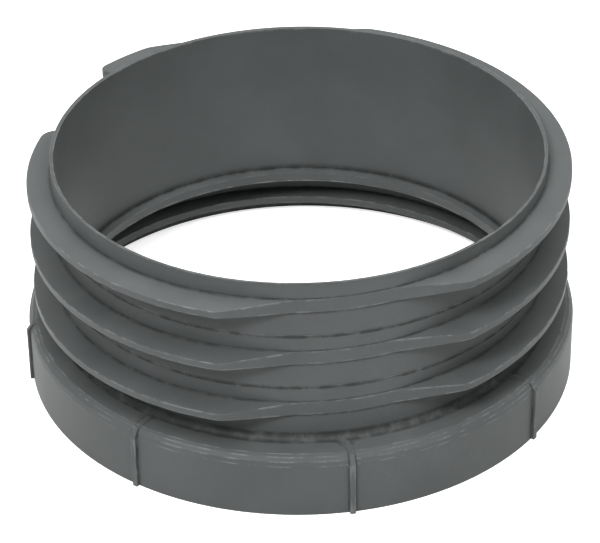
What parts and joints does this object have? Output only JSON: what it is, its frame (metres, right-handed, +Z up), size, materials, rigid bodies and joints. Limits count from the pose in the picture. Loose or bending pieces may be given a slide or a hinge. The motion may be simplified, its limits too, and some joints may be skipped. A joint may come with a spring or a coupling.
{
  "type": "inspection chamber riser",
  "caption": "Moulded plastic riser ring for an underground drainage inspection chamber: ribbed neck above, wider push-fit socket skirt below, open right through.",
  "frame": {"origin": "on the ring's axis, in the plane of the skirt's lower edge, which it stands on", "axes": "+Z up along the ring's axis, out of the neck; +Y and -Y square to the two flats across the neck's ribs"},
  "size_m": [0.5224, 0.5224, 0.226],
  "materials": {
    "riser_plastic": "dark grey-black moulded polypropylene, fine matt texture"
  },
  "bodies": {
    "root": {"chamber_riser": "riser_plastic"}
  },
  "joints": []
}
